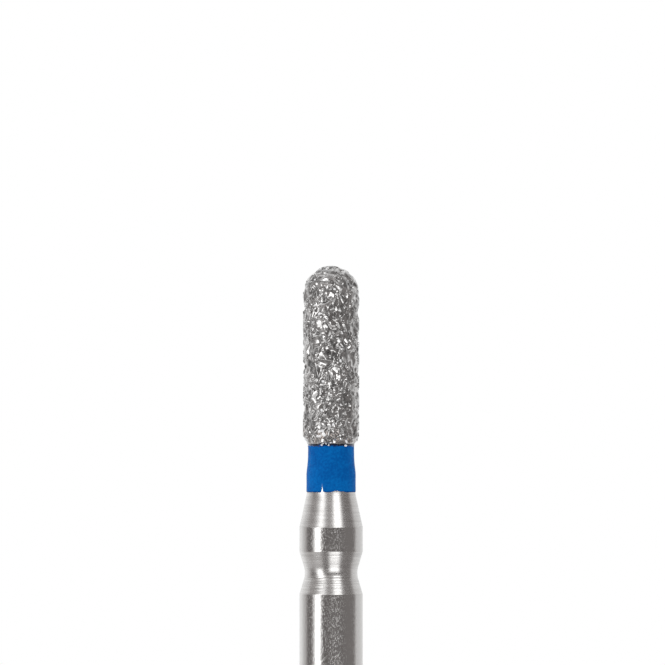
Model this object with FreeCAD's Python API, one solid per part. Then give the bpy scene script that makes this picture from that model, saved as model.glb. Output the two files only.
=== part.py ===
"""Diamond dental bur with a friction grip shank and a round-ended cylinder head, in millimetres.

The bur's axis is +Z. The origin is the centre of the flat end of the shank, and the cutting tip is on top.
The bur is a turned steel blank, with a diamond coat plated on its upper end and a painted band on its neck.
"""

import FreeCAD
import Part

import math
import os

from FreeCAD import Vector

# Turned blank, from the shank's flat end upwards
SHANK_DIAMETER = 1.60
GRIP_LENGTH = 10.725
TAIL_CHAMFER_HEIGHT = 0.25
TAIL_CHAMFER_WIDTH = 0.12
GROOVE_LENGTH = 1.08
GROOVE_DEPTH = 0.136
GROOVE_ROOT_RADIUS = 0.55
LAND_LENGTH = 0.604
CONE_LENGTH = 0.875
CONE_FOOT_RADIUS = 1.5
NECK_FOOT_DIAMETER = 1.21
NECK_TOP_DIAMETER = 1.13
NECK_FOOT_LENGTH = 0.44
NECK_TAPER_LENGTH = 0.46

# Painted band, which covers the neck from the cone to the coat
BAND_LENGTH = 1.17
PAINT_THICKNESS = 0.015

# Diamond coat: nickel plated round the blank's end, with one layer of grains held in it
HEAD_LENGTH = 4.546
BOND_THICKNESS = 0.095
COAT_EDGE_THICKNESS = 0.05
COAT_EDGE_TAPER = 0.22
GRIT_SIZE = 0.125
GRAIN_EXPOSURE = 0.040
GRAIN_PITCH = 0.205
GRAIN_SCATTER = 0.30
GRAIN_UNEVENNESS = 0.18
BOND_FLATS = 24
DOME_ROWS = 5

# Heights and radii that follow from the sizes above
SHANK_RADIUS = SHANK_DIAMETER / 2
NECK_FOOT_RADIUS = NECK_FOOT_DIAMETER / 2
CORE_RADIUS = NECK_TOP_DIAMETER / 2
BOND_RADIUS = CORE_RADIUS + BOND_THICKNESS
HEAD_RADIUS = BOND_RADIUS + GRAIN_EXPOSURE
GROOVE_TOP = GRIP_LENGTH + GROOVE_LENGTH
LAND_TOP = GROOVE_TOP + LAND_LENGTH
NECK_FOOT = LAND_TOP + CONE_LENGTH
COAT_FOOT = NECK_FOOT + BAND_LENGTH
DOME_CENTRE = COAT_FOOT + HEAD_LENGTH - HEAD_RADIUS
BOND_TIP = DOME_CENTRE + BOND_RADIUS

AXIS_POINT = Vector(0, 0, 0)
AXIS = Vector(0, 0, 1)
GOLDEN_ANGLE = math.pi * (3 - math.sqrt(5))


def at(radius, height):
    """A point of a half section: distance from the bur's axis, and height."""
    return Vector(radius, 0, height)


def lines(*points):
    """The straight edges of a section that join these points in turn."""
    return [Part.makeLine(start, end) for start, end in zip(points, points[1:])]


def arc(start, middle, end):
    """A round edge of a section, through three points."""
    return Part.Arc(start, middle, end).toShape()


def turned(edges):
    """The solid that a closed half section makes when it is turned about the bur's axis."""
    return Part.Face(Part.Wire(edges)).revolve(AXIS_POINT, AXIS, 360)


def on_circle(centre, radius, angle):
    """The point of a section's circle at an angle in radians, where 0 points away from the axis."""
    return Vector(centre.x + radius * math.cos(angle), 0, centre.z + radius * math.sin(angle))


def groove_edges():
    """The groove's section, going up: two straight flanks, each tangent to the round root."""
    half = GROOVE_LENGTH / 2
    middle = GRIP_LENGTH + half
    root_rise = GROOVE_ROOT_RADIUS - GROOVE_DEPTH
    reach = math.hypot(half, root_rise)
    flank = math.asin(GROOVE_ROOT_RADIUS / reach) - math.atan2(root_rise, half)
    root = at(SHANK_RADIUS + root_rise, middle)
    low = on_circle(root, GROOVE_ROOT_RADIUS, math.pi + flank)
    deep = on_circle(root, GROOVE_ROOT_RADIUS, math.pi)
    high = on_circle(root, GROOVE_ROOT_RADIUS, math.pi - flank)
    return [
        *lines(at(SHANK_RADIUS, GRIP_LENGTH), low),
        arc(low, deep, high),
        *lines(high, at(SHANK_RADIUS, GROOVE_TOP)),
    ]


def neck_points():
    """The corners of the neck's section, going up: a straight foot, a slight taper and a straight top."""
    return [
        at(NECK_FOOT_RADIUS, NECK_FOOT),
        at(NECK_FOOT_RADIUS, NECK_FOOT + NECK_FOOT_LENGTH),
        at(CORE_RADIUS, NECK_FOOT + NECK_FOOT_LENGTH + NECK_TAPER_LENGTH),
        at(CORE_RADIUS, COAT_FOOT),
    ]


def cone_edges():
    """The cone's section, going up: a straight flank, then a round foot tangent to the neck."""
    width = SHANK_RADIUS - NECK_FOOT_RADIUS
    centre = at(NECK_FOOT_RADIUS + CONE_FOOT_RADIUS, NECK_FOOT)
    across = CONE_FOOT_RADIUS - width
    reach = math.hypot(CONE_LENGTH, across)
    turn = math.asin(CONE_FOOT_RADIUS / reach) - math.atan2(across, CONE_LENGTH)
    start = on_circle(centre, CONE_FOOT_RADIUS, math.pi + turn)
    middle = on_circle(centre, CONE_FOOT_RADIUS, math.pi + turn / 2)
    return [*lines(at(SHANK_RADIUS, LAND_TOP), start), arc(start, middle, at(NECK_FOOT_RADIUS, NECK_FOOT))]


def dome_edge(radius):
    """A quarter circle about the dome's centre, from the side to the tip."""
    centre = at(0, DOME_CENTRE)
    return arc(
        on_circle(centre, radius, 0),
        on_circle(centre, radius, math.pi / 4),
        on_circle(centre, radius, math.pi / 2),
    )


def steel_blank():
    """The turned blank: chamfered shank, groove, land, cone, neck and the round-ended core of the head."""
    foot = at(0, 0)
    return turned(
        [
            *lines(
                foot,
                at(SHANK_RADIUS - TAIL_CHAMFER_WIDTH, 0),
                at(SHANK_RADIUS, TAIL_CHAMFER_HEIGHT),
                at(SHANK_RADIUS, GRIP_LENGTH),
            ),
            *groove_edges(),
            *lines(at(SHANK_RADIUS, GROOVE_TOP), at(SHANK_RADIUS, LAND_TOP)),
            *cone_edges(),
            *lines(*neck_points(), at(CORE_RADIUS, DOME_CENTRE)),
            dome_edge(CORE_RADIUS),
            *lines(at(0, DOME_CENTRE + CORE_RADIUS), foot),
        ]
    )


def grit_band():
    """The ring of paint on the neck, an even layer that ends at the cone and under the coat."""
    inner = neck_points()
    outer = [point + at(PAINT_THICKNESS, 0) for point in inner]
    return turned(lines(*inner, *reversed(outer), inner[0]))


def chance(index, purpose):
    """A number from 0 to 1 that looks random and is the same on each run: the fraction of a large sine."""
    return (math.sin(index * 12.9898 + purpose * 78.233) * 43758.5453) % 1


def bond_radius(height):
    """The nickel's outer radius at a height below the dome: full, and tapered towards the coat's foot."""
    share = min(1, (height - COAT_FOOT) / COAT_EDGE_TAPER)
    return CORE_RADIUS + COAT_EDGE_THICKNESS + (BOND_THICKNESS - COAT_EDGE_THICKNESS) * share


def flat_face(*corners):
    """A flat face with these corners."""
    return Part.Face(Part.makePolygon([*corners, corners[0]]))


def closed_solid(faces):
    """The solid that flat faces enclose."""
    shell = Part.Shell(faces)
    shell.sewShape()
    return Part.Solid(shell)


def bond_body():
    """The nickel with the core still in it, made of flats a few microns inside a true round.

    Grains then meet it along straight edges, and the flats are smaller than the roughness of the plating.
    """
    turn = 2 * math.pi / BOND_FLATS
    rows = [(bond_radius(COAT_FOOT), COAT_FOOT), (BOND_RADIUS, COAT_FOOT + COAT_EDGE_TAPER)]
    for row in range(DOME_ROWS):
        angle = math.pi / 2 * row / DOME_ROWS
        rows.append((BOND_RADIUS * math.cos(angle), DOME_CENTRE + BOND_RADIUS * math.sin(angle)))
    rings = [
        [Vector(radius * math.cos(turn * k), radius * math.sin(turn * k), height) for k in range(BOND_FLATS)]
        for radius, height in rows
    ]
    tip = at(0, BOND_TIP)
    faces = [flat_face(*rings[0])]
    for k in range(BOND_FLATS):
        after = (k + 1) % BOND_FLATS
        for low, high in zip(rings, rings[1:]):
            faces.append(flat_face(low[k], low[after], high[after], high[k]))
        faces.append(flat_face(rings[-1][k], rings[-1][after], tip))
    return closed_solid(faces)


def grain(centre, index):
    """One diamond: an octahedron turned any way, with its six corners at uneven distances."""
    u, v, w = (chance(index, purpose) for purpose in (1, 2, 3))
    turn = FreeCAD.Rotation(
        math.sqrt(1 - u) * math.sin(2 * math.pi * v),
        math.sqrt(1 - u) * math.cos(2 * math.pi * v),
        math.sqrt(u) * math.sin(2 * math.pi * w),
        math.sqrt(u) * math.cos(2 * math.pi * w),
    )
    corners = []
    for k, way in enumerate([(1, 0, 0), (0, 1, 0), (-1, 0, 0), (0, -1, 0), (0, 0, 1), (0, 0, -1)]):
        reach = GRIT_SIZE / 2 * (1 + GRAIN_UNEVENNESS * (2 * chance(index, 4 + k) - 1))
        corners.append(centre + turn.multVec(Vector(*way)) * reach)
    faces = []
    for k in range(4):
        after = (k + 1) % 4
        faces.append(flat_face(corners[k], corners[after], corners[4]))
        faces.append(flat_face(corners[after], corners[k], corners[5]))
    return closed_solid(faces)


def grain_centres():
    """Where the grains sit: equal shares of the surface on a golden-angle spiral, scattered a little."""
    lowest = COAT_FOOT + GRIT_SIZE / 2 * (1 + GRAIN_UNEVENNESS)
    span = BOND_TIP - lowest
    count = round(2 * math.pi * BOND_RADIUS * span / GRAIN_PITCH**2)
    centres = []
    for index in range(count):
        height = lowest + span * (index + 0.5) / count
        angle = index * GOLDEN_ANGLE
        above = max(0, height - DOME_CENTRE)
        radius = math.sqrt(BOND_RADIUS**2 - above**2)
        outwards = Vector(math.cos(angle), math.sin(angle), 0)
        around = Vector(-math.sin(angle), math.cos(angle), 0)
        upwards = (AXIS * radius - outwards * above) / BOND_RADIUS
        side = GRAIN_SCATTER * GRAIN_PITCH * (2 * chance(index, 10) - 1)
        rise = GRAIN_SCATTER * GRAIN_PITCH * (2 * chance(index, 11) - 1)
        point = outwards * radius + AXIS * height + around * side + upwards * rise
        axis_height = min(point.z, DOME_CENTRE)
        normal = point - AXIS * axis_height
        normal.normalize()
        depth = GRIT_SIZE / 2 - GRAIN_EXPOSURE
        foot = max(axis_height, lowest)
        centres.append(AXIS * foot + normal * (bond_radius(foot) - depth))
    return centres


def diamond_coat():
    """The nickel bond and its grains as one plated layer, hollow where the blank's core fills it."""
    grains = [grain(centre, index) for index, centre in enumerate(grain_centres())]
    coat = bond_body().multiFuse(grains)
    foot = at(0, COAT_FOOT)
    core_edges = [
        *lines(foot, at(CORE_RADIUS, COAT_FOOT), at(CORE_RADIUS, DOME_CENTRE)),
        dome_edge(CORE_RADIUS),
        *lines(at(0, DOME_CENTRE + CORE_RADIUS), foot),
    ]
    return coat.cut(turned(core_edges))


def main():
    os.makedirs("parts", exist_ok=True)
    nodes = {"steel_blank": steel_blank(), "grit_band": grit_band(), "diamond_coat": diamond_coat()}
    for name, shape in nodes.items():
        shape.exportStep(f"parts/{name}.step")
        box = shape.BoundBox
        print(
            f"{name}: {len(shape.Solids)} solid, valid {shape.isValid()}, {len(shape.Faces)} faces,"
            f" {shape.Volume:.4f} mm3, z {box.ZMin:.3f} to {box.ZMax:.3f}, x {box.XMin:.3f} to {box.XMax:.3f}"
        )


main()
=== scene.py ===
"""The dental bur as the picture shows it: turned steel, blue lacquer, plated nickel and diamond grains.

Lengths are in metres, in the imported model's frame. The bur's axis is +Z and its shank ends at height 0.
The picture looks along +Y. An azimuth turns round the axis: 0 faces the picture's camera, and a
positive one lies towards +X.
"""

import math

import bpy
import numpy as np
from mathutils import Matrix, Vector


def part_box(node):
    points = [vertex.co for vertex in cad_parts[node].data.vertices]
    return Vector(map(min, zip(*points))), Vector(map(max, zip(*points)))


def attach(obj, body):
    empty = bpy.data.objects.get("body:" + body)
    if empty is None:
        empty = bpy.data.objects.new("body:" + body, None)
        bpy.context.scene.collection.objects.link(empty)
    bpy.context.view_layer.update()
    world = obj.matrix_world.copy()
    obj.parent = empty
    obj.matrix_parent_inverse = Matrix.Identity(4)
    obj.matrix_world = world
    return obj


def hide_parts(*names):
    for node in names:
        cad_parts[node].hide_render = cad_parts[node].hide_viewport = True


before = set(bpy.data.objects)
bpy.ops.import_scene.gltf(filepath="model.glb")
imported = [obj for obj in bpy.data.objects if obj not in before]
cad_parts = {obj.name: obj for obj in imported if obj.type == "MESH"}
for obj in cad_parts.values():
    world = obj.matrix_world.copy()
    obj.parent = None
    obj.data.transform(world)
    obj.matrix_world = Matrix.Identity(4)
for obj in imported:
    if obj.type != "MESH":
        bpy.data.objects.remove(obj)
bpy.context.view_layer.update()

MM = 0.001
MICRON = 1e-6

# What the frame gives
SHANK_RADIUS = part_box("steel_blank")[1].y
NECK_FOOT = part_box("grit_band")[0].z
COAT_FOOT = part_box("diamond_coat")[0].z
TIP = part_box("diamond_coat")[1].z

# Turned blank
GRIP_LENGTH = 10.725 * MM
TAIL_CHAMFER_HEIGHT = 0.25 * MM
TAIL_CHAMFER_WIDTH = 0.12 * MM
GROOVE_LENGTH = 1.08 * MM
GROOVE_DEPTH = 0.136 * MM
GROOVE_ROOT_RADIUS = 0.55 * MM
LAND_LENGTH = 0.604 * MM
NECK_FOOT_RADIUS = 0.605 * MM
CORE_RADIUS = 0.565 * MM
NECK_TAPER_START = 0.40 * MM
NECK_TAPER_END = 0.94 * MM
CONE_FOOT_BLEND = 0.012 * MM
EDGE_ROUNDING = 9 * MICRON
BLANK_COLUMNS = 208
GROOVE_TOP = GRIP_LENGTH + GROOVE_LENGTH
LAND_TOP = GROOVE_TOP + LAND_LENGTH

# Rings that the turning tool left in the groove: height above the grip's end, and depth
TOOL_RINGS = (
    (0.10 * MM, 1.2 * MICRON),
    (0.18 * MM, 1.8 * MICRON),
    (0.25 * MM, 1.0 * MICRON),
    (0.30 * MM, 1.6 * MICRON),
    (0.36 * MM, 2.2 * MICRON),
    (0.42 * MM, 2.2 * MICRON),
    (0.56 * MM, 1.4 * MICRON),
    (0.68 * MM, 0.5 * MICRON),
    (0.98 * MM, 1.4 * MICRON),
)
TOOL_RING_WIDTH = 9 * MICRON

# Lacquer
PAINT_THICKNESS = 15 * MICRON
PAINT_EDGE_LENGTH = 35 * MICRON
PAINT_FOOT_GAP = 6 * MICRON
PAINT_LAP = 40 * MICRON
PAINT_WAVE = 12 * MICRON
PAINT_ROWS = 64
PAINT_COLUMNS = 640
BRUSH_DEPTH = 1.0 * MICRON
BRUSH_PITCH = 70 * MICRON
CHIP_AZIMUTH = math.radians(-21.5)
CHIP_HALF_WIDTH = math.radians(2.7)
CHIP_HEIGHT = 0.15 * MM
DIP_AZIMUTH = math.radians(13)
DIP_HALF_WIDTH = math.radians(13)
DIP_HEIGHT = 0.045 * MM

# Coat
BOND_RADIUS = 0.664 * MM
HEAD_RADIUS = 0.712 * MM
HEAD_MARGIN = 2 * MICRON
COAT_EDGE_RADIUS = 0.612 * MM
COAT_EDGE_TAPER = 0.30 * MM
COAT_EDGE_CURL = 45 * MICRON
COAT_WAVE = 12 * MICRON
COAT_WAVE_TOP = 0.2 * MM
LIP_HEIGHT = 62 * MICRON
LIP_THICKNESS = 5 * MICRON
SKIN_ROWS = 288
SKIN_COLUMNS = 330
GRAIN_PITCH = 0.175 * MM
GRAIN_SCATTER = 0.34
GRAIN_SIZE = 0.184 * MM
GRAIN_SPREAD = 0.30
GRAIN_FACETS = 5
CAP_HEIGHT = 0.19
CAP_SHOULDER = 0.13
CAP_STEEPNESS = (0.15, 1.05)
PLAIN_TONE = 0.5
NICKEL_GRAIN = 0.6 * MICRON
SWELL_COUNT = 24
SWELL_ROUNDS = 11
SWELL_LENGTH = 0.38 * MM
SWELL_DEPTH = 16 * MICRON
CRYSTAL_SHARE = 0.7
CRYSTAL_SIZE = (0.45, 0.75)
CRYSTAL_TOP = (16 * MICRON, 46 * MICRON)
CRYSTAL_HALF = 0.46
CRYSTAL_STRETCH = (0.72, 1.15)
CORNER_SHIFT = 0.16
CRUMB_COUNT = 5000
CRUMB_SIZE = (0.045 * MM, 0.085 * MM)
CRUMB_PATCHES = 0.2
TONE_LIMIT = 0.92
PALE_GRAIN_TOP = 44 * MICRON
PALE_GRAIN_LIFT = 0.1
LOW_GRAINS_END = 0.1 * MM
DOME_CENTRE = TIP - HEAD_RADIUS

# Steel's finish: colours where dark and where light, and the strokes on its ground faces
GROUND_STEEL = ((0.52, 0.51, 0.50, 1), (0.665, 0.655, 0.645, 1))
RINGED_STEEL = ((0.625, 0.615, 0.605, 1), (0.735, 0.725, 0.715, 1))
STROKE_SCALE = 30000
STROKE_EDGES = (0.52, 0.60)
STROKE_DEPTH = 0.60 * MICRON
STROKES_TURNED_AWAY = 0.72
FACE_EDGE = 4 * MICRON

# Lacquer's finish: colours where dark and where light, the painted shadow along its lower edge, and the paler
# blue above the chip
LACQUER_COLOURS = ((0.0003, 0.090, 0.355, 1), (0.0012, 0.142, 0.475, 1))
# Colour of the painted shadow along the paint's lower edge
LACQUER_EDGE_SHADOW = (0.0016, 0.050, 0.200, 1)
# A paler blue above the chip: its colour, its share, its half width and the heights where it fades out
LACQUER_PALER = (0.42, 0.55, 0.66, 1)
PALER_SPOT_SHARE = 0.3
PALER_SPOT_HALF_WIDTH = 14 * MICRON
PALER_SPOT_TOP = (0.14 * MM, 0.26 * MM)
CHIP_RADIUS = CORE_RADIUS * 1.09

# Nickel's finish: greys, roughness, and the shares of its tone that clouds and caps make
NICKEL_DARK = 0.12
NICKEL_LIGHT = 0.79
NICKEL_WARM = (0.52, 0.45, 0.41, 1)
WARM_SHARE = 0.6
WARM_TOP = (0.25 * MM, 0.6 * MM)
NICKEL_ROUGH = (0.05, 0.25)
NICKEL_SHEEN = 0.6
PATCH_SCALE = 9000
PATCH_EDGES = (0.42, 0.52)
CLOUD_SCALE = 2600
CLOUD_SHARE = 0.12
CAP_SHARE = 0.5
# Painted shadow on the lip under the coat's edge: how uneven its top is, and its colours at the foot, bluish
# as a painted reflection of the paint, and at the top
LIP_SHADOW_UNEVENNESS = 80 * MICRON
LIP_SHADOW_FOOT = (0.001, 0.045, 0.190, 1)
LIP_SHADOW_TOP = (0.001, 0.004, 0.018, 1)

# Diamond's finish: the tone above which a grain is bare, and colours of plated and bare ones, the bare white
# being partly the pale diamond's own and partly a painted glint
BARE_TONE = 0.89
PLATED_COLOURS = ((0.40, 0.395, 0.39, 1), (0.68, 0.675, 0.67, 1))
# White of the bare grains: partly the pale diamond's own colour, partly a painted glint
BARE_GLINT_COLOUR = (0.95, 0.95, 0.96, 1)
BARE_IOR = 1.5

# Studio: spans of azimuth or elevation in degrees, as start, end and softness, and levels where 1 is white
DARK_DEPTH = 0.82
DARK_LOST_ABOVE = 0.45
DARK_LOST_BELOW = 0.4
STRIP_LEAN = 0.54
STRIP_LEVEL = 1.1
STRIP_LOST_ABOVE = 0.2
UPPER_LAMP = (8, 44, 6)
UPPER_LEVEL = 0.85
ABOVE = (11, 38, 3)
LOWER_LAMP = (-8, 37, 6)
LOWER_LEVEL = 0.8
BELOW = (-38, -9, 3)
LAMP_LEVEL = 0.8
CORE_LEVEL = 1.5
GLOW = (-104, -36, 8)
GLOW_ABOVE = 0.19
GLOW_BELOW = 0.32
SHOULDER = (-150, -100, 10)
SHOULDER_RISE = (18, 62, 6)
SHOULDER_LEVEL = 0.25
HAZE = (-22, 6, 5)
HAZE_LEVEL = 0.22
DIM_SIDE_LEVEL = 0.05
EVEN_LIGHT_LEAN = 0.34

# Floor
FLOOR_RADIUS = 300 * MM
FLOOR_GREY = 0.96
FLOOR_LIFT = 0.2
FLOOR_UNSEEN_LEVEL = 0.8
FLOOR_SEEN_FROM = 12.5 * MM

# Pale bare grains that stand out, white partly as bare diamond and partly as painted glints: azimuth in
# degrees, height above the coat's foot, size
PALE_GLINT_GRAINS = (
    (12.8, 4.05 * MM, 0.13 * MM),
    (7.5, 3.95 * MM, 0.10 * MM),
    (17.5, 3.93 * MM, 0.10 * MM),
    (-23.0, 3.81 * MM, 0.10 * MM),
    (-24.8, 3.32 * MM, 0.11 * MM),
    (20.3, 2.14 * MM, 0.12 * MM),
    (-18.1, 1.63 * MM, 0.11 * MM),
    (-51.7, 1.13 * MM, 0.12 * MM),
    (14.0, 1.08 * MM, 0.09 * MM),
    (20.5, 1.03 * MM, 0.09 * MM),
    (-20.3, 0.90 * MM, 0.10 * MM),
    (-24.5, 0.68 * MM, 0.10 * MM),
    (-27.5, 0.27 * MM, 0.13 * MM),
    (-25.5, 0.37 * MM, 0.11 * MM),
    (-16.5, 0.29 * MM, 0.13 * MM),
    (-19.0, 0.38 * MM, 0.10 * MM),
    (-23.5, 0.035 * MM, 0.070 * MM),
    (-19.0, 0.070 * MM, 0.050 * MM),
    (-12.0, 0.062 * MM, 0.045 * MM),
    (-6.0, 0.030 * MM, 0.050 * MM),
    (-1.0, 0.11 * MM, 0.110 * MM),
    (39.0, 0.02 * MM, 0.085 * MM),
    (37.0, 0.13 * MM, 0.100 * MM),
    (104.0, 1.9 * MM, 0.12 * MM),
    (118.0, -0.01 * MM, 0.05 * MM),
    (160.0, 3.1 * MM, 0.12 * MM),
    (-140.0, 0.8 * MM, 0.11 * MM),
    (-150.0, 0.01 * MM, 0.05 * MM),
)

# Camera
PICTURE_WIDTH = 16.73 * MM
CAMERA_DISTANCE = 350 * MM
NEAREST_SEEN = 10 * MM
FARTHEST_SEEN = 5000 * MM
PICTURE_CENTRE = (0.035 * MM, 17.31 * MM)

chance = np.random.default_rng(31)


# Surfaces


def smooth_step(value, low, high):
    """0 below low, 1 above high, and 3t² - 2t³ between them, where t is the share of the way."""
    t = np.clip((value - low) / (high - low), 0, 1)
    return t * t * (3 - 2 * t)


def smooth_max(a, b, blend):
    """The larger of two values, with the corner between them rounded over about the blend's width."""
    return (a + b + np.sqrt((a - b) ** 2 + blend**2)) / 2


def around(azimuth):
    """The level direction of an azimuth, as x and y."""
    return np.sin(azimuth), -np.cos(azimuth)


def wobble(azimuth, waves, seed):
    """A closed uneven line round the axis, about -1 to 1: the mean of sines with whole numbers of waves."""
    phases = np.random.default_rng(seed).uniform(0, 2 * math.pi, len(waves))
    return sum(np.sin(n * azimuth + phase) for n, phase in zip(waves, phases)) / math.sqrt(len(waves))


def make_piece(name, points, faces, smooth):
    """A mesh object from an array of points and a list of face arrays, one for each number of corners."""
    mesh = bpy.data.meshes.new(name)
    mesh.vertices.add(len(points))
    mesh.vertices.foreach_set("co", np.asarray(points, dtype=np.float32).ravel())
    sizes = np.concatenate([np.full(len(group), group.shape[1]) for group in faces])
    corners = np.concatenate([group.ravel() for group in faces])
    mesh.loops.add(len(corners))
    mesh.loops.foreach_set("vertex_index", corners.astype(np.int32))
    mesh.polygons.add(len(sizes))
    starts = np.concatenate([[0], np.cumsum(sizes)[:-1]])
    mesh.polygons.foreach_set("loop_start", starts.astype(np.int32))
    mesh.polygons.foreach_set("loop_total", sizes.astype(np.int32))
    mesh.polygons.foreach_set("use_smooth", np.full(len(sizes), smooth))
    mesh.update(calc_edges=True)
    piece = bpy.data.objects.new(name, mesh)
    bpy.context.scene.collection.objects.link(piece)
    return piece


def grid_faces(rows, columns, closed_rows=False):
    """The quads of a grid whose columns close into a ring, and whose rows do too if asked."""
    row = np.arange(rows if closed_rows else rows - 1)[:, None]
    column = np.arange(columns)[None, :]
    above = (row + 1) % rows
    after = (column + 1) % columns
    low, high = row * columns, above * columns
    corners = np.broadcast_arrays(low + column, low + after, high + after, high + column)
    return np.stack(corners, axis=-1).reshape(-1, 4)


def round_piece(name, points, smooth=True):
    """A closed skin from a grid of points, with rows up and columns round, shut by a fan at each end."""
    rows, columns = points.shape[:2]
    flat = points.reshape(-1, 3)
    ends = np.array([[0, 0, points[0, :, 2].mean()], [0, 0, points[-1, :, 2].mean()]])
    column = np.arange(columns)
    after = (column + 1) % columns
    low = np.stack([np.full(columns, rows * columns), after, column], axis=-1)
    last = (rows - 1) * columns
    high = np.stack([np.full(columns, rows * columns + 1), last + column, last + after], axis=-1)
    faces = [grid_faces(rows, columns), np.concatenate([low, high])]
    return make_piece(name, np.concatenate([flat, ends]), faces, smooth)


def ring_points(radius, height, azimuth):
    """Points at a radius, a height and an azimuth, as one array."""
    x, y = around(azimuth)
    return np.stack(np.broadcast_arrays(radius * x, radius * y, height), axis=-1)


def neck_radius(height):
    """The neck: two straight stretches that a smooth step joins."""
    rise = smooth_step(height, NECK_FOOT + NECK_TAPER_START, NECK_FOOT + NECK_TAPER_END)
    return NECK_FOOT_RADIUS + (CORE_RADIUS - NECK_FOOT_RADIUS) * rise


def turned_radius(height):
    """The turned outline: the smallest of the shank, the chamfer and the groove, then the cone and neck.

    The groove is a circle between two lines that touch it. The cone is the line from the land's top edge
    to the neck's foot, and the larger of it and the neck counts, with the corner rounded.
    """
    chamfer = SHANK_RADIUS - TAIL_CHAMFER_WIDTH * (1 - height / TAIL_CHAMFER_HEIGHT)
    half = GROOVE_LENGTH / 2
    rise = GROOVE_ROOT_RADIUS - GROOVE_DEPTH
    flank = math.asin(GROOVE_ROOT_RADIUS / math.hypot(half, rise)) - math.atan2(rise, half)
    off = np.abs(height - GRIP_LENGTH - half)
    touch = GROOVE_ROOT_RADIUS * math.sin(flank)
    root = SHANK_RADIUS + rise - np.sqrt(np.maximum(GROOVE_ROOT_RADIUS**2 - off**2, 0))
    wall = SHANK_RADIUS + (off - half) * math.tan(flank)
    groove = np.where(off < touch, root, wall)
    shank = np.minimum(np.minimum(SHANK_RADIUS, chamfer), groove)
    slope = (SHANK_RADIUS - NECK_FOOT_RADIUS) / (NECK_FOOT - LAND_TOP)
    cone = smooth_max(SHANK_RADIUS - (height - LAND_TOP) * slope, neck_radius(height), CONE_FOOT_BLEND)
    return np.where(height < LAND_TOP, shank, np.minimum(cone, SHANK_RADIUS))


def steel_blank():
    """The blank, turned about the axis: its outline averaged over a short length, less the tool's rings."""
    heights = np.concatenate(
        [
            np.linspace(0, 0.02, 4) * MM,
            np.linspace(0.05, 0.22, 4) * MM,
            np.linspace(0.235, 0.265, 7) * MM,
            np.linspace(0.4, 10.6, 16) * MM,
            np.linspace(GRIP_LENGTH - 30 * MICRON, GROOVE_TOP + 30 * MICRON, 190),
            np.linspace(GROOVE_TOP + 60 * MICRON, LAND_TOP - 60 * MICRON, 8),
            np.linspace(LAND_TOP - 30 * MICRON, LAND_TOP + 30 * MICRON, 13),
            np.linspace(LAND_TOP + 50 * MICRON, COAT_FOOT + 20 * MICRON, 90),
            np.linspace(COAT_FOOT + 100 * MICRON, DOME_CENTRE, 5),
        ]
    )
    window = np.linspace(-EDGE_ROUNDING, EDGE_ROUNDING, 9)[:, None]
    radius = turned_radius(np.maximum(heights + window, 0)).mean(axis=0)
    radius[0] -= EDGE_ROUNDING
    for rise, depth in TOOL_RINGS:
        radius -= depth * np.exp(-(((heights - GRIP_LENGTH - rise) / TOOL_RING_WIDTH) ** 2))
    turn = np.linspace(0, math.pi / 2, 12)[1:-1]
    heights = np.concatenate([heights, DOME_CENTRE + CORE_RADIUS * np.sin(turn)])
    radius = np.concatenate([radius, CORE_RADIUS * np.cos(turn)])
    azimuth = np.linspace(0, 2 * math.pi, BLANK_COLUMNS, endpoint=False)
    return round_piece("turned_blank", ring_points(radius[:, None], heights[:, None], azimuth))


def paint_foot(azimuth):
    """The height of the paint's lower edge: a slight wave, a shallow dip and a three-cornered chip."""
    wave = PAINT_WAVE * wobble(azimuth, (2, 3, 5, 9, 14, 23), 3)
    dip = DIP_HEIGHT * np.maximum(0, 1 - ((azimuth - DIP_AZIMUTH) / DIP_HALF_WIDTH) ** 2)
    chip = CHIP_HEIGHT * np.maximum(0, 1 - np.abs(azimuth - CHIP_AZIMUTH) / CHIP_HALF_WIDTH)
    return NECK_FOOT + np.maximum(wave, dip) + chip + PAINT_FOOT_GAP


def lacquer_band():
    """The paint on the neck: its foot follows an uneven line, and it rounds up to its thickness from there.

    The rows climb by a power of their share of the way, so that they are closer together at the foot. The
    brush leaves low waves: sines round the axis and one that climbs.
    """
    azimuth = np.linspace(-math.pi, math.pi, PAINT_COLUMNS, endpoint=False)[None, :]
    share = (np.linspace(0, 1, PAINT_ROWS) ** 1.6)[:, None]
    foot = paint_foot(azimuth)
    height = foot + share * (COAT_FOOT + PAINT_LAP - foot)
    edge = np.clip((height - foot) / PAINT_EDGE_LENGTH, 0, 1)
    brush = BRUSH_DEPTH * (wobble(azimuth, (3, 7, 13, 31), 5) + np.sin(height / BRUSH_PITCH))
    thickness = PAINT_THICKNESS * np.sqrt(1 - (1 - edge) ** 2)
    outside = ring_points(neck_radius(height) + thickness + brush * edge, height, azimuth)
    inside = ring_points(neck_radius(height) - 2 * MICRON, height, azimuth)[::-1]
    points = np.concatenate([outside, inside])
    faces = [grid_faces(*points.shape[:2], closed_rows=True)]
    return make_piece("lacquer_band", points.reshape(-1, 3), faces, smooth=True)


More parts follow.
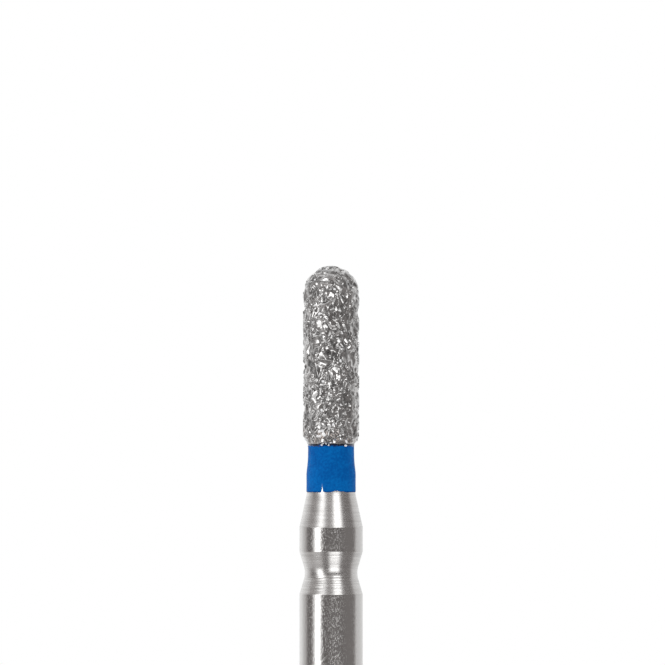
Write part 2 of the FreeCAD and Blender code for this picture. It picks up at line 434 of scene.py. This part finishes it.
def coat_outline(count):
    """The nickel's plain outline from foot to tip: each row's radius, height and outward direction.

    A low lip lies on the paint. Above it the outline curls out, tapers to full width, goes straight up and
    ends in a quarter circle.
    """
    straight = np.linspace(0, DOME_CENTRE - COAT_FOOT, 500)
    curl = np.sqrt(1 - (1 - np.clip((straight - LIP_HEIGHT) / COAT_EDGE_CURL, 0, 1)) ** 2)
    lip = CORE_RADIUS + PAINT_THICKNESS + LIP_THICKNESS
    edge = lip + (COAT_EDGE_RADIUS - lip) * curl
    wide = edge + (BOND_RADIUS - COAT_EDGE_RADIUS) * smooth_step(straight, LIP_HEIGHT, COAT_EDGE_TAPER)
    turn = np.linspace(0, math.pi / 2, 160)[1:]
    radius = np.concatenate([wide, BOND_RADIUS * np.cos(turn)])
    height = np.concatenate([COAT_FOOT + straight, DOME_CENTRE + BOND_RADIUS * np.sin(turn)])
    length = np.concatenate([[0], np.cumsum(np.hypot(np.diff(radius), np.diff(height)))])
    even = np.linspace(0, length[-1] - 8 * MICRON, count)
    radius, height = np.interp(even, length, radius), np.interp(even, length, height)
    out, up = np.gradient(height), -np.gradient(radius)
    size = np.hypot(out, up)
    return radius, height, out / size, up / size


def on_nickel(azimuth, height):
    """The point of the plain nickel at an azimuth and a height, and its outward direction there."""
    above = np.maximum(height - DOME_CENTRE, 0)
    taper = smooth_step(height - COAT_FOOT, LIP_HEIGHT, COAT_EDGE_TAPER)
    side = COAT_EDGE_RADIUS + (BOND_RADIUS - COAT_EDGE_RADIUS) * taper
    side = np.where(height < COAT_FOOT + LIP_HEIGHT, CORE_RADIUS + PAINT_THICKNESS, side)
    radius = np.where(above > 0, np.sqrt(np.maximum(BOND_RADIUS**2 - above**2, 0)), side)
    point = ring_points(radius, height, azimuth)
    outward = point - np.stack([0 * height, 0 * height, np.minimum(height, DOME_CENTRE)], axis=-1)
    return point, outward / np.linalg.norm(outward, axis=1, keepdims=True)


def grain_places():
    """Where the grains sit on the plain nickel: centre, outward direction and size of each.

    Equal shares of the surface follow a golden-angle spiral, and each place is scattered by a part of the
    pitch. The logarithm of the size is spread like a bell, cut off at both ends.
    """
    low = COAT_FOOT + LIP_HEIGHT + COAT_EDGE_CURL
    span = DOME_CENTRE + BOND_RADIUS - low
    count = round(2 * math.pi * BOND_RADIUS * span / GRAIN_PITCH**2)
    index = np.arange(count)
    climb = chance.uniform(-GRAIN_SCATTER, GRAIN_SCATTER, count) * GRAIN_PITCH
    height = np.clip(low + span * (index + 0.5) / count + climb, low, low + span * (1 - 0.2 / count))
    drift = chance.uniform(-GRAIN_SCATTER, GRAIN_SCATTER, count) * GRAIN_PITCH / BOND_RADIUS
    azimuth = index * math.pi * (3 - math.sqrt(5)) + drift
    size = GRAIN_SIZE * np.exp(GRAIN_SPREAD * np.clip(chance.normal(size=count), -1.6, 1.6))
    return *on_nickel(azimuth, height), size


def across(outward):
    """Two directions at right angles to each outward one and to each other."""
    level = np.cross(np.array([0.0, 0.0, 1.0]), outward)
    level += np.array([1e-6, 0, 0])
    level /= np.linalg.norm(level, axis=-1, keepdims=True)
    return level, np.cross(outward, level)


def keep_inside(points):
    """Points that pass the head's outline, drawn back onto it towards the axis or the dome's centre."""
    base = np.zeros_like(points)
    base[..., 2] = np.minimum(points[..., 2], DOME_CENTRE)
    reach = np.linalg.norm(points - base, axis=-1, keepdims=True)
    return base + (points - base) * np.minimum(1, (HEAD_RADIUS - HEAD_MARGIN) / reach)


def swells(azimuth, height):
    """Low swells over the head, about -1 to 1: sines that slant at random and close round the axis."""
    dice = np.random.default_rng(21)
    rounds = dice.integers(-SWELL_ROUNDS, SWELL_ROUNDS + 1, SWELL_COUNT)
    climbs = dice.uniform(0.3, 1.0, SWELL_COUNT) * 2 * math.pi / SWELL_LENGTH
    phases = dice.uniform(0, 2 * math.pi, SWELL_COUNT)
    waves = (np.sin(n * azimuth + k * height + phase) for n, k, phase in zip(rounds, climbs, phases))
    return sum(waves) / math.sqrt(SWELL_COUNT)


def nickel_skin(centre, outward, size):
    """The nickel's points and tones: its plain outline, lifted over each grain by a cap of leaning flats.

    A cap's lift at a point is the least of its flats, each one a height less a slope times the distance in
    its own direction. The largest lift of all grains counts, and the point takes that cap's tone. A fine
    uneven grain and low swells are added, the lifts are averaged with their neighbours', and they fade out
    at the lip.
    """
    radius, height, out, up = coat_outline(SKIN_ROWS)
    azimuth = np.linspace(-math.pi, math.pi, SKIN_COLUMNS, endpoint=False)[None, :]
    edge = COAT_WAVE * wobble(azimuth, (4, 7, 11, 17, 26, 37), 11)
    sag = edge * (1 - smooth_step(height[:, None], COAT_FOOT, COAT_FOOT + COAT_WAVE_TOP))
    skin = ring_points(radius[:, None], height[:, None] + sag, azimuth)
    x, y = around(azimuth)
    normal = np.stack(np.broadcast_arrays(out[:, None] * x, out[:, None] * y, up[:, None]), axis=-1)
    shades = np.random.default_rng(8).uniform(0, 1, len(size))
    tone = np.full((SKIN_ROWS, SKIN_COLUMNS), PLAIN_TONE)
    lift = np.zeros((SKIN_ROWS, SKIN_COLUMNS))
    level, upright = across(outward)
    for place, a, b, width, shade in zip(centre, level, upright, size, shades):
        near = np.flatnonzero(np.abs(height - place[2]) < 0.9 * width)
        off = skin[near] - place
        u, v = off @ a / width, off @ b / width
        steps = np.arange(GRAIN_FACETS) + chance.uniform(-0.4, 0.4, GRAIN_FACETS)
        turns = steps * 2 * math.pi / GRAIN_FACETS + chance.uniform(0, 2 * math.pi)
        cap = np.full(u.shape, 1.0)
        for turn, steep in zip(turns, chance.uniform(*CAP_STEEPNESS, GRAIN_FACETS)):
            along = u * math.cos(turn) + v * math.sin(turn)
            cap = np.minimum(cap, CAP_HEIGHT + steep * (CAP_SHOULDER - along))
        cap = np.where((off**2).sum(axis=-1) < width**2, cap, 0) * width
        tone[near] = np.where(cap > lift[near], shade, tone[near])
        lift[near] = np.maximum(lift[near], cap)
    lift += NICKEL_GRAIN * chance.normal(size=lift.shape)
    lift += SWELL_DEPTH * swells(azimuth, height[:, None])
    lift = (2 * lift + np.roll(lift, 1, axis=1) + np.roll(lift, -1, axis=1)) / 4
    lift[1:-1] = (2 * lift[1:-1] + lift[:-2] + lift[2:]) / 4
    lift *= smooth_step(height - COAT_FOOT, LIP_HEIGHT - 10 * MICRON, LIP_HEIGHT + 50 * MICRON)[:, None]
    return keep_inside(skin + normal * lift[..., None]), tone


def give_tone(piece, tone):
    """Writes a piece's tone at each point, from 0 to 1, for its finish."""
    tones = piece.data.attributes.new("tone", "FLOAT", "POINT")
    tones.data.foreach_set("value", tone.astype(np.float32))
    return piece


def crystal():
    """A cuboctahedron: the 12 points with one coordinate 0 and the others 1 or -1, and its 20 triangles.

    Each corner of the cube gives one triangle, and each side gives a square, which is split in two.
    """
    signs = (1, -1)
    corners = [(a, b, 0) for a in signs for b in signs] + [(a, 0, b) for a in signs for b in signs]
    corners += [(0, a, b) for a in signs for b in signs]
    index = {corner: number for number, corner in enumerate(corners)}
    faces = [
        [index[a, b, 0], index[0, b, c], index[a, 0, c]]
        for a in signs
        for b in signs
        for c in signs
    ]
    for axis in range(3):
        for side in signs:
            square = [corner for corner in corners if corner[axis] == side]
            first = square[0]
            far = next(c for c in square if all(c[k] == -first[k] for k in range(3) if k != axis))
            others = [c for c in square if c not in (first, far)]
            faces += [[index[first], index[other], index[far]] for other in others]
    points, faces = np.array(corners) / math.sqrt(2), np.array(faces)
    sides = points[faces]
    normal = np.cross(sides[:, 1] - sides[:, 0], sides[:, 2] - sides[:, 0])
    inward = (normal * sides.mean(axis=1)).sum(axis=-1) < 0
    faces[inward] = faces[inward][:, ::-1]
    return points, faces


def random_turns(count):
    """Evenly spread turns, as matrices from four normal numbers each, read as a quaternion."""
    four = chance.normal(size=(count, 4))
    w, x, y, z = four.T / np.linalg.norm(four, axis=1)
    rows = [
        [1 - 2 * (y * y + z * z), 2 * (x * y - z * w), 2 * (x * z + y * w)],
        [2 * (x * y + z * w), 1 - 2 * (x * x + z * z), 2 * (y * z - x * w)],
        [2 * (x * z - y * w), 2 * (y * z + x * w), 1 - 2 * (x * x + y * y)],
    ]
    return np.moveaxis(np.array(rows), -1, 0)


def fine_grit(skin):
    """Small broken grains on the nickel: points of its skin picked at random, more where it swells."""
    rows, columns = skin.shape[:2]
    spot = skin[chance.integers(10, rows, CRUMB_COUNT), chance.integers(0, columns, CRUMB_COUNT)]
    reach = np.hypot(spot[:, 0], spot[:, 1])
    azimuth = np.arctan2(spot[:, 0], -spot[:, 1])
    kept = chance.uniform(0, BOND_RADIUS, CRUMB_COUNT) < reach
    kept &= swells(azimuth, spot[:, 2]) > chance.uniform(-0.3, 0.3, CRUMB_COUNT) + CRUMB_PATCHES
    return spot[kept], chance.uniform(*CRUMB_SIZE, CRUMB_COUNT)[kept]


def diamond_grains(centre, outward, size, skin):
    """The grains: crystals in the larger caps, broken crumbs, and the pale bare ones, whose white is partly a
    painted glint.

    Each is one crystal with its corners shifted, stretched, turned, scaled and set in its place. The pale ones
    at the lip lie on the paint, and the others reach a set height above the nickel.
    """
    shown = chance.uniform(0, 1, len(size)) < CRYSTAL_SHARE
    size = size[shown] * chance.uniform(*CRYSTAL_SIZE, shown.sum())
    lift = chance.uniform(*CRYSTAL_TOP, len(size)) - CRYSTAL_HALF * size
    sunk = centre[shown] + outward[shown] * lift[:, None]
    angle, rise, width = (np.array(column) for column in zip(*PALE_GLINT_GRAINS))
    pale, pale_out = on_nickel(np.radians(angle), COAT_FOOT + rise)
    held = rise > LOW_GRAINS_END
    pale_lift = np.where(held, PALE_GRAIN_TOP - CRYSTAL_HALF * width, PALE_GRAIN_LIFT * width)
    pale = pale + pale_out * pale_lift[:, None]
    crumb, crumb_size = fine_grit(skin)
    tone = chance.uniform(0, TONE_LIMIT, len(size) + len(crumb))
    tone = np.concatenate([tone, np.ones(len(width))])
    centre = np.concatenate([sunk, crumb, pale])
    size = np.concatenate([size, crumb_size, width])
    points, faces = crystal()
    count = len(centre)
    shape = points + chance.uniform(-CORNER_SHIFT, CORNER_SHIFT, (count, *points.shape))
    shape = shape * chance.uniform(*CRYSTAL_STRETCH, (count, 1, 3))
    shape = np.einsum("nij,nkj->nki", random_turns(count), shape) * size[:, None, None] / 2
    shape = keep_inside(shape + centre[:, None, :])
    faces = faces[None] + len(points) * np.arange(count)[:, None, None]
    piece = make_piece("diamond_grains", shape.reshape(-1, 3), [faces.reshape(-1, 3)], smooth=False)
    return give_tone(piece, np.repeat(tone, len(points)))


# Finishes


class Wire:
    """An output socket. The operators + - * / ** on wires and numbers add the Math nodes they stand for."""

    def __init__(self, socket):
        self.socket = socket

    def node(self, kind, settings=None, output=0, **inputs):
        """Adds a node beside this wire and gives one of its outputs."""
        return add_node(self.socket.id_data, kind, settings, output, **inputs)

    def maths(self, operation, *values):
        """Adds a Math node, with the values as its inputs in turn."""
        inputs = {f"_{number}": value for number, value in enumerate(values)}
        return self.node("ShaderNodeMath", {"operation": operation}, **inputs)

    def __add__(self, other):
        return self.maths("ADD", self, other)

    def __sub__(self, other):
        return self.maths("SUBTRACT", self, other)

    def __mul__(self, other):
        return self.maths("MULTIPLY", self, other)

    def __truediv__(self, other):
        return self.maths("DIVIDE", self, other)

    def __rsub__(self, other):
        return self.maths("SUBTRACT", other, self)

    def __neg__(self):
        return self.maths("MULTIPLY", self, -1)

    def __pow__(self, other):
        return self.maths("POWER", self, other)

    __radd__ = __add__
    __rmul__ = __mul__

    def along(self, axis):
        """One coordinate of a place or a direction: X, Y or Z."""
        return self.node("ShaderNodeSeparateXYZ", None, axis, _0=self)

    def rise(self, low, high):
        """0 below low, 1 above high, and a smooth step between them."""
        settings = {"interpolation_type": "SMOOTHSTEP"}
        return self.node("ShaderNodeMapRange", settings, _0=self, _1=low, _2=high)

    def window(self, low, high, soft):
        """1 between low and high, and 0 outside, with edges that are soft by this much each way."""
        return self.rise(low - soft, low + soft) * (1 - self.rise(high - soft, high + soft))


def add_node(tree, kind, settings=None, output=0, **inputs):
    """Adds a node of this kind: its settings first, then its inputs, each a value or a wire.

    An input goes by its name, with _ for a space, or by its number, as _0 or _1. The node's output, picked by
    name or number, comes back as a wire, or None where it has none.
    """
    node = tree.nodes.new(kind)
    for name, value in (settings or {}).items():
        setattr(node, name, value)
    for name, value in inputs.items():
        key = int(name[1:]) if name[0] == "_" else name.replace("_", " ")
        socket = node.inputs[key]
        if isinstance(value, Wire):
            tree.links.new(value.socket, socket)
        else:
            socket.default_value = value
    return Wire(node.outputs[output]) if len(node.outputs) else None


def blend_colours(share, first, second):
    """The first colour where the share is 0, the second where it is 1.

    A Mix node's colours are its inputs 6 and 7, and its output 2.
    """
    return share.node("ShaderNodeMix", {"data_type": "RGBA"}, 2, Factor=share, _6=first, _7=second)


def new_finish(name):
    """An empty material, its node tree and a wire of the object's own coordinates."""
    material = bpy.data.materials.new(name)
    material.use_nodes = True
    tree = material.node_tree
    tree.nodes.clear()
    place = add_node(tree, "ShaderNodeTexCoord", output="Object")
    return material, tree, place


def noise(place, scale, detail=2.0, roughness=0.5, stretch=(1, 1, 1)):
    """Noise between 0 and 1 with this many waves a metre along each axis, times the stretch."""
    spread = place.node("ShaderNodeVectorMath", {"operation": "MULTIPLY"}, _0=place, _1=stretch)
    inputs = {"Vector": spread, "Scale": scale, "Detail": detail, "Roughness": roughness}
    return spread.node("ShaderNodeTexNoise", None, "Fac", **inputs)


def bump(height, distance, normal=None):
    """A normal that follows a height of 0 to 1 over this distance in metres."""
    inputs = {"Height": height, "Distance": distance, "Strength": 1.0}
    if normal is not None:
        inputs["Normal"] = normal
    return height.node("ShaderNodeBump", None, "Normal", **inputs)


def turned_steel():
    """Bright steel: fine lines round the axis, upright strokes where ground and rings where turned."""
    material, tree, place = new_finish("turned_steel")
    z = place.along("Z")
    grinding = noise(place, 1400, 3, 0.6, (1, 1, 34))
    coarse = noise(place, 900, 2, 0.5, (1, 1, 14))
    in_groove = z.window(GRIP_LENGTH, GROOVE_TOP, FACE_EDGE)
    on_cone = z.rise(LAND_TOP - FACE_EDGE, LAND_TOP + FACE_EDGE)
    turned = in_groove + on_cone
    stroke = noise(place, STROKE_SCALE, 2, 0.5, (1, 1, 0.5)).rise(*STROKE_EDGES)
    stroke = stroke * (1 - STROKES_TURNED_AWAY * turned)
    ground_colour = blend_colours(0.92 + 0.12 * grinding, *GROUND_STEEL)
    rings = noise(place, 1000, 1, 0.5, (1, 1, 32)).rise(0.3, 0.7)
    colour = blend_colours(turned, ground_colour, blend_colours(rings, *RINGED_STEEL))
    roughness = 0.11 + 0.05 * coarse + 0.105 * stroke + 0.12 * turned
    lines = bump(grinding, 0.7 * MICRON)
    lathe = bump(coarse * turned, 2.5 * MICRON, lines)
    shader = add_node(
        tree,
        "ShaderNodeBsdfPrincipled",
        Base_Color=colour,
        Metallic=1.0,
        Roughness=roughness,
        Normal=bump(stroke, STROKE_DEPTH, lathe),
    )
    add_node(tree, "ShaderNodeOutputMaterial", Surface=shader)
    return material


def blue_lacquer():
    """Blue lacquer with a low sheen: level smears, clouds and specks, a painted shadow along its lower edge
    and a paler spot above the chip.
    """
    material, tree, place = new_finish("blue_lacquer")
    x, y, z = (place.along(axis) for axis in "XYZ")
    smears = noise(place, 1300, 3, 0.55, (1, 1, 5))
    clouds = noise(place, 1700, 2, 0.5)
    specks = noise(place, 17000, 2, 0.6)
    shade = (0.2 * smears + 0.35 * clouds + 0.45 * specks).rise(0.38, 0.62)
    colour = blend_colours(shade, *LACQUER_COLOURS)
    chip_x = CHIP_RADIUS * math.sin(CHIP_AZIMUTH)
    # Above the chip, at the front, the paint turns a paler blue that fades out upwards
    paler_spot = x.window(chip_x - PALER_SPOT_HALF_WIDTH, chip_x + PALER_SPOT_HALF_WIDTH, PALER_SPOT_HALF_WIDTH)
    paler_spot = paler_spot * y.rise(0.1 * MM, -0.1 * MM)
    paler_spot = paler_spot * (1 - z.rise(NECK_FOOT + PALER_SPOT_TOP[0], NECK_FOOT + PALER_SPOT_TOP[1]))
    colour = blend_colours(paler_spot * PALER_SPOT_SHARE, colour, LACQUER_PALER)
    # Painted shadow: the paint darkens towards its lower edge
    above_edge_shadow = z.rise(NECK_FOOT + 10 * MICRON, NECK_FOOT + 60 * MICRON)
    shader = add_node(
        tree,
        "ShaderNodeBsdfPrincipled",
        Base_Color=blend_colours(above_edge_shadow, LACQUER_EDGE_SHADOW, colour),
        Roughness=0.36 + 0.14 * smears,
        Specular_IOR_Level=0.03,
        Sheen_Weight=0.35,
        Sheen_Roughness=0.12,
        Sheen_Tint=(0.3, 0.75, 1, 1),
        Normal=bump(0.6 * smears + 0.4 * clouds, 3.0 * MICRON),
    )
    add_node(tree, "ShaderNodeOutputMaterial", Surface=shader)
    return material


def satin_nickel():
    """Plated nickel: a grey metal, rougher and darker in some patches than in others.

    Clouds and each cap's own tone add to that. Near the foot it has a warm tinge, and the lip is painted dark
    as the shadow under the coat's edge, bluish at its foot as a painted reflection of the blue paint.
    """
    material, tree, place = new_finish("satin_nickel")
    z = place.along("Z")
    fine = noise(place, 26000, 2, 0.6)
    rough = noise(place, PATCH_SCALE, 2, 0.5).rise(*PATCH_EDGES)
    clouds = noise(place, CLOUD_SCALE, 2, 0.5).rise(0.36, 0.64)
    dark = (NICKEL_DARK * 1.01, NICKEL_DARK, NICKEL_DARK * 0.99, 1)
    light = (NICKEL_LIGHT * 1.01, NICKEL_LIGHT, NICKEL_LIGHT * 0.99, 1)
    cap = add_node(tree, "ShaderNodeAttribute", {"attribute_name": "tone"}, "Fac")
    tone = (1 - rough) * (1 - CLOUD_SHARE - CAP_SHARE) + clouds * CLOUD_SHARE + cap * CAP_SHARE
    colour = blend_colours(tone, dark, light)
    foot = 1 - z.rise(COAT_FOOT + WARM_TOP[0], COAT_FOOT + WARM_TOP[1])
    warm = noise(place, 4500, 2, 0.5).rise(0.50, 0.62) * foot
    colour = blend_colours(warm * WARM_SHARE, colour, NICKEL_WARM)
    # The lip under the coat's edge is painted dark as shade, with an uneven top, and bluish at its foot as a
    # painted reflection of the blue paint
    edge = z + (noise(place, 9000, 2, 0.6) - 0.5) * LIP_SHADOW_UNEVENNESS
    shade = blend_colours(edge.rise(COAT_FOOT + 12 * MICRON, COAT_FOOT + 40 * MICRON), LIP_SHADOW_FOOT, LIP_SHADOW_TOP)
    clear = edge.rise(COAT_FOOT + LIP_HEIGHT - 12 * MICRON, COAT_FOOT + LIP_HEIGHT + 8 * MICRON)
    colour = blend_colours(clear, shade, colour)
    shader = add_node(
        tree,
        "ShaderNodeBsdfPrincipled",
        Base_Color=colour,
        Metallic=1.0,
        Roughness=NICKEL_ROUGH[0] + NICKEL_ROUGH[1] * rough,
        Sheen_Weight=NICKEL_SHEEN,
        Sheen_Roughness=0.5,
        Normal=bump(fine, 2.0 * MICRON),
    )
    add_node(tree, "ShaderNodeOutputMaterial", Surface=shader)
    return material


def diamond():
    """Diamond grains: bright flats, most of them under a skin of nickel, and a few bare and pale, their white
    partly the diamond's own and partly a painted glint.
    """
    material, tree, place = new_finish("diamond")
    tone = add_node(tree, "ShaderNodeAttribute", {"attribute_name": "tone"}, "Fac")
    growth = noise(place, 42000, 1, 0.5)
    # Bare grains are white: partly the pale diamond's own colour, partly a painted glint
    bare = tone.rise(BARE_TONE, BARE_TONE + 0.01)
    plated = blend_colours(tone / BARE_TONE, *PLATED_COLOURS)
    shader = add_node(
        tree,
        "ShaderNodeBsdfPrincipled",
        Base_Color=blend_colours(bare, plated, BARE_GLINT_COLOUR),
        Metallic=1 - bare,
        Roughness=0.05 + 0.12 * growth,
        IOR=BARE_IOR,
        Normal=bump(growth, 1.2 * MICRON),
    )
    add_node(tree, "ShaderNodeOutputMaterial", Surface=shader)
    return material


# Studio


def studio(azimuth, elevation):
    """How bright the studio is in a direction, in degrees, where 1 is white.

    It is white behind the bur and dark in front, with an upright strip of light at the left that leans as it
    rises, and a lamp at the right above the level of the bur and another below it. Each of the three is
    brightest in its core. A faint glow lies above and below the strip, one more at the left shoulder, and a
    haze between the strip and the upper lamp. The dark is a little less deep at its right.
    """
    left = azimuth.rise(-142, -108) * 0.47 + azimuth.rise(-112, -90) * 0.53
    right = azimuth.rise(90, 107) * 0.64 + azimuth.rise(104, 150) * 0.18 + azimuth.rise(155, 178) * 0.18
    front = left * (1 - right) * (1 - elevation.rise(36, 80) * DARK_LOST_ABOVE)
    front = front * (1 - DARK_LOST_BELOW * (1 - elevation.rise(-80, -36)))
    above = elevation.window(*ABOVE)
    lean = azimuth - elevation.maths("MAXIMUM", elevation, 0) * STRIP_LEAN
    strip = lean.rise(-80, -52) * (1 - lean.rise(-45, -29))
    strip = strip * elevation.rise(-32, -12) * (1 - elevation.rise(34, 46))
    strip = strip * (1 - STRIP_LOST_ABOVE * elevation.rise(10, 26))
    faint = (1 - elevation.rise(-26, -8)) * elevation.rise(-60, -40) * GLOW_BELOW
    faint = faint + elevation.window(12, 60, 5) * GLOW_ABOVE
    glow = azimuth.window(*GLOW) * faint
    glow = glow + azimuth.window(*SHOULDER) * elevation.window(*SHOULDER_RISE) * SHOULDER_LEVEL
    upper = azimuth.window(*UPPER_LAMP) * above
    lower = azimuth.window(*LOWER_LAMP) * elevation.window(*BELOW)
    lamps = strip * STRIP_LEVEL + upper * UPPER_LEVEL + lower * LOWER_LEVEL
    core = strip**4 * STRIP_LEVEL + upper**4 * UPPER_LEVEL + lower**4 * LOWER_LEVEL
    haze = azimuth.window(*HAZE) * above * HAZE_LEVEL
    haze = haze + azimuth.rise(30, 60) * front * DIM_SIDE_LEVEL
    return 1 - front * DARK_DEPTH + lamps * LAMP_LEVEL + core * CORE_LEVEL + haze + glow


def studio_colour(level):
    """White where the studio is bright and slightly warm where it is dark."""
    return blend_colours(level.rise(0.1, 0.9), (1, 0.93, 0.91, 1), (1, 1, 1, 1))


def heading(x, y):
    """The azimuth of a direction, in degrees."""
    return x.maths("ARCTAN2", x, -y) * math.degrees(1)


def light_world():
    """White for the camera, the studio for gloss, and for the rest a pale light, stronger from the left."""
    world = bpy.data.worlds.new("studio")
    bpy.context.scene.world = world
    world.use_nodes = True
    world.cycles.sampling_method = "NONE"
    tree = world.node_tree
    tree.nodes.clear()
    ray = add_node(tree, "ShaderNodeTexCoord", output="Generated")
    x, y, z = (ray.along(axis) for axis in "XYZ")
    gloss = add_node(tree, "ShaderNodeLightPath", output="Is Glossy Ray")
    camera = add_node(tree, "ShaderNodeLightPath", output="Is Camera Ray")
    seen = studio(heading(x, y), z.maths("ARCSINE", z) * math.degrees(1))
    even = 1.0 - EVEN_LIGHT_LEAN * x
    level = camera + (1 - camera) * (gloss * seen + (1 - gloss) * even)
    light = add_node(tree, "ShaderNodeBackground", Color=studio_colour(level), Strength=level)
    add_node(tree, "ShaderNodeOutputWorld", Surface=light)


def studio_floor():
    """A round pale floor, whose rings widen by the square of their number.

    It keeps the bur's shadow and looks white where nothing shades it. In gloss it shows the studio as seen
    from the groove's height.
    """
    azimuth = np.linspace(0, 2 * math.pi, 96, endpoint=False)[None, :]
    rings = (np.linspace(0.02, 1, 12) ** 2)[:, None] * FLOOR_RADIUS
    points = ring_points(rings, 0 * rings, azimuth)[::-1]
    floor = round_piece("studio_floor", points, smooth=False)
    material, tree, place = new_finish("pale_floor")
    x, y = (place.along(axis) for axis in "XY")
    reach = x.maths("SQRT", x * x + y * y)
    below = x.maths("ARCTAN2", -FLOOR_SEEN_FROM, reach) * math.degrees(1)
    gloss = add_node(tree, "ShaderNodeLightPath", output="Is Glossy Ray")
    camera = add_node(tree, "ShaderNodeLightPath", output="Is Camera Ray")
    glow = gloss * studio(heading(x, y), below) + (1 - gloss) * FLOOR_UNSEEN_LEVEL
    unseen = add_node(tree, "ShaderNodeEmission", Color=studio_colour(glow), Strength=glow)
    matt = add_node(tree, "ShaderNodeBsdfDiffuse", Color=(FLOOR_GREY, FLOOR_GREY, FLOOR_GREY, 1))
    lift = add_node(tree, "ShaderNodeEmission", Strength=FLOOR_LIFT)
    plain = add_node(tree, "ShaderNodeAddShader", _0=matt, _1=lift)
    seen = add_node(tree, "ShaderNodeMixShader", _0=camera, _1=unseen, _2=plain)
    add_node(tree, "ShaderNodeOutputMaterial", Surface=seen)
    material.cycles.emission_sampling = "NONE"
    floor.data.materials.append(material)


def picture_camera():
    """A long lens, level with the head, that takes in the picture's width at the bur."""
    data = bpy.data.cameras.new("picture_camera")
    data.lens = data.sensor_width * CAMERA_DISTANCE / PICTURE_WIDTH
    data.clip_start = NEAREST_SEEN
    data.clip_end = FARTHEST_SEEN
    camera = bpy.data.objects.new("picture_camera", data)
    camera.location = (PICTURE_CENTRE[0], -CAMERA_DISTANCE, PICTURE_CENTRE[1])
    camera.rotation_euler = (math.pi / 2, 0, 0)
    bpy.context.scene.collection.objects.link(camera)
    bpy.context.scene.camera = camera


def dress(piece, material, node):
    """Gives a piece its finish and its place in the model."""
    piece.data.materials.append(material)
    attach(piece, "root")
    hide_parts(node)


grains = grain_places()
dress(steel_blank(), turned_steel(), "steel_blank")
dress(lacquer_band(), blue_lacquer(), "grit_band")
skin, cap_tone = nickel_skin(*grains)
nickel = give_tone(round_piece("nickel_bond", skin), np.append(cap_tone, (PLAIN_TONE, PLAIN_TONE)))
dress(nickel, satin_nickel(), "diamond_coat")
dress(diamond_grains(*grains, skin), diamond(), "diamond_coat")
light_world()
studio_floor()
picture_camera()
bpy.context.scene.view_settings.view_transform = "Standard"
